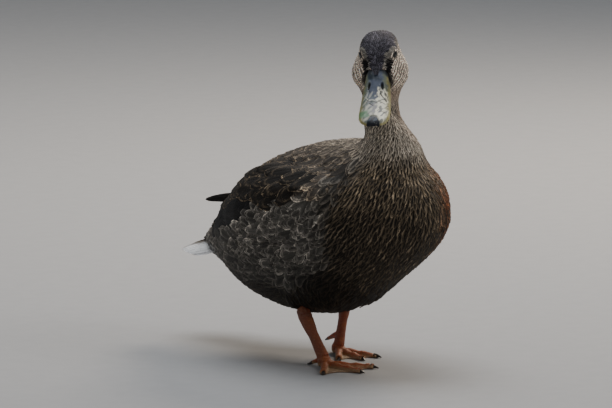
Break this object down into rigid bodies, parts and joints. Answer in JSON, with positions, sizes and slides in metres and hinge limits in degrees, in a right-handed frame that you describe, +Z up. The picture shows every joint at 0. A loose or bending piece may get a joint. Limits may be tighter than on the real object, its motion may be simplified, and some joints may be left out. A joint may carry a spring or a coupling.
{
  "type": "mallard duck",
  "caption": "Life-size mallard in brown, hen-like plumage, standing on webbed feet with its head turned to its right; a still, museum-type display model.",
  "frame": {"origin": "centre of the standing bird's bounding box, on the floor it stands on", "axes": "+Z up; the body faces -Y, so +Y is towards the tail; +X is the bird's own left"},
  "size_m": [0.1486, 0.325, 0.2811],
  "materials": {
    "plumage_head": "fine short feathers, dark grey crown over pale streaked cheeks",
    "plumage": "dark brown feathers with paler edges",
    "flight_feather": "smooth dark brown flight feathers",
    "tail_feather": "off-white outer feathers over brown",
    "bill_horn": "olive and grey-green horn with a black nail and dark scratches, slight sheen",
    "eye_gloss": "wet, near-black brown",
    "leg_skin": "scaled dull orange skin",
    "claw_horn": "dark horn"
  },
  "bodies": {
    "root": {"head": "plumage_head", "neck": "plumage", "breast": "plumage", "trunk": "plumage", "rump": "plumage", "thigh_left": "plumage", "thigh_right": "plumage", "wing_left": "flight_feather", "wing_right": "flight_feather", "wing_tip_left": "flight_feather", "wing_tip_right": "flight_feather", "tail": "tail_feather", "bill_upper": "bill_horn", "bill_lower": "bill_horn", "eye_left": "eye_gloss", "eye_right": "eye_gloss", "shank_left": "leg_skin", "shank_right": "leg_skin", "foot_left": "leg_skin", "foot_right": "leg_skin", "hallux_left": "leg_skin", "hallux_right": "leg_skin", "claw_inner_left": "claw_horn", "claw_inner_right": "claw_horn", "claw_middle_left": "claw_horn", "claw_middle_right": "claw_horn", "claw_outer_left": "claw_horn", "claw_outer_right": "claw_horn", "claw_hind_left": "claw_horn", "claw_hind_right": "claw_horn"}
  },
  "joints": []
}
